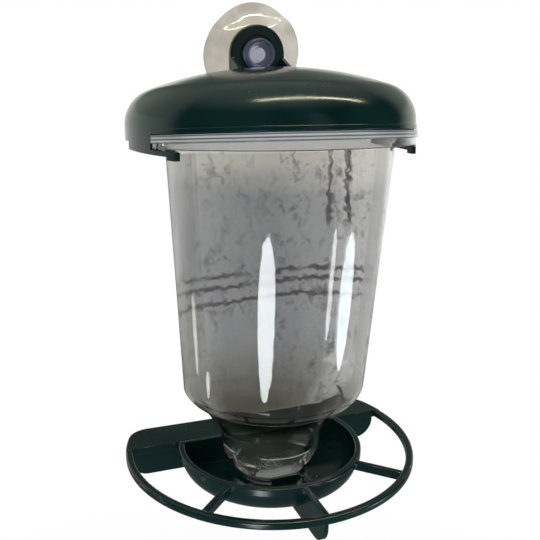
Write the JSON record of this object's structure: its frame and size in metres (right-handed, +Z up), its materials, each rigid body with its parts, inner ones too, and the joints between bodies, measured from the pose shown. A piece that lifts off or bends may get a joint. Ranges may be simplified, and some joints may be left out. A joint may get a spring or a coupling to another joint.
{
  "type": "window bird feeder",
  "caption": "Window seed feeder: clear half-round hopper on a funnel spout, domed hood with a suction cup, and a seed tray with a round perch; hopper slides out to fill.",
  "frame": {"origin": "middle of the suction cup's face, on the window pane", "axes": "+Z up, +Y into the pane, so the feeder hangs on the -Y side; X along the pane, +X to the right as seen from the bird's side"},
  "size_m": [0.15, 0.1105, 0.2398],
  "materials": {
    "green_plastic": "gloss",
    "clear_plastic": "clear gloss",
    "soft_clear": "milky clear"
  },
  "bodies": {
    "cup": {"suction_cup": "soft_clear"},
    "hood": {"hood": "green_plastic"},
    "hopper": {"hopper": "clear_plastic"},
    "tray": {"tray_bowl": "green_plastic", "tray_perch": "green_plastic", "tray_shelf": "green_plastic"}
  },
  "joints": [
    {"name": "hood_turn", "type": "hinge", "parent": "cup", "child": "hood", "pos_m": [0, 0, 0], "axis": [0, 1, 0], "continuous": true},
    {"name": "hopper_slide", "type": "slide", "parent": "hood", "child": "hopper", "axis": [0, -1, 0], "range_m": [0, 0.07]},
    {"name": "tray_release", "type": "slide", "parent": "hopper", "child": "tray", "axis": [0, 0, -1], "range_m": [0, 0.03]}
  ]
}
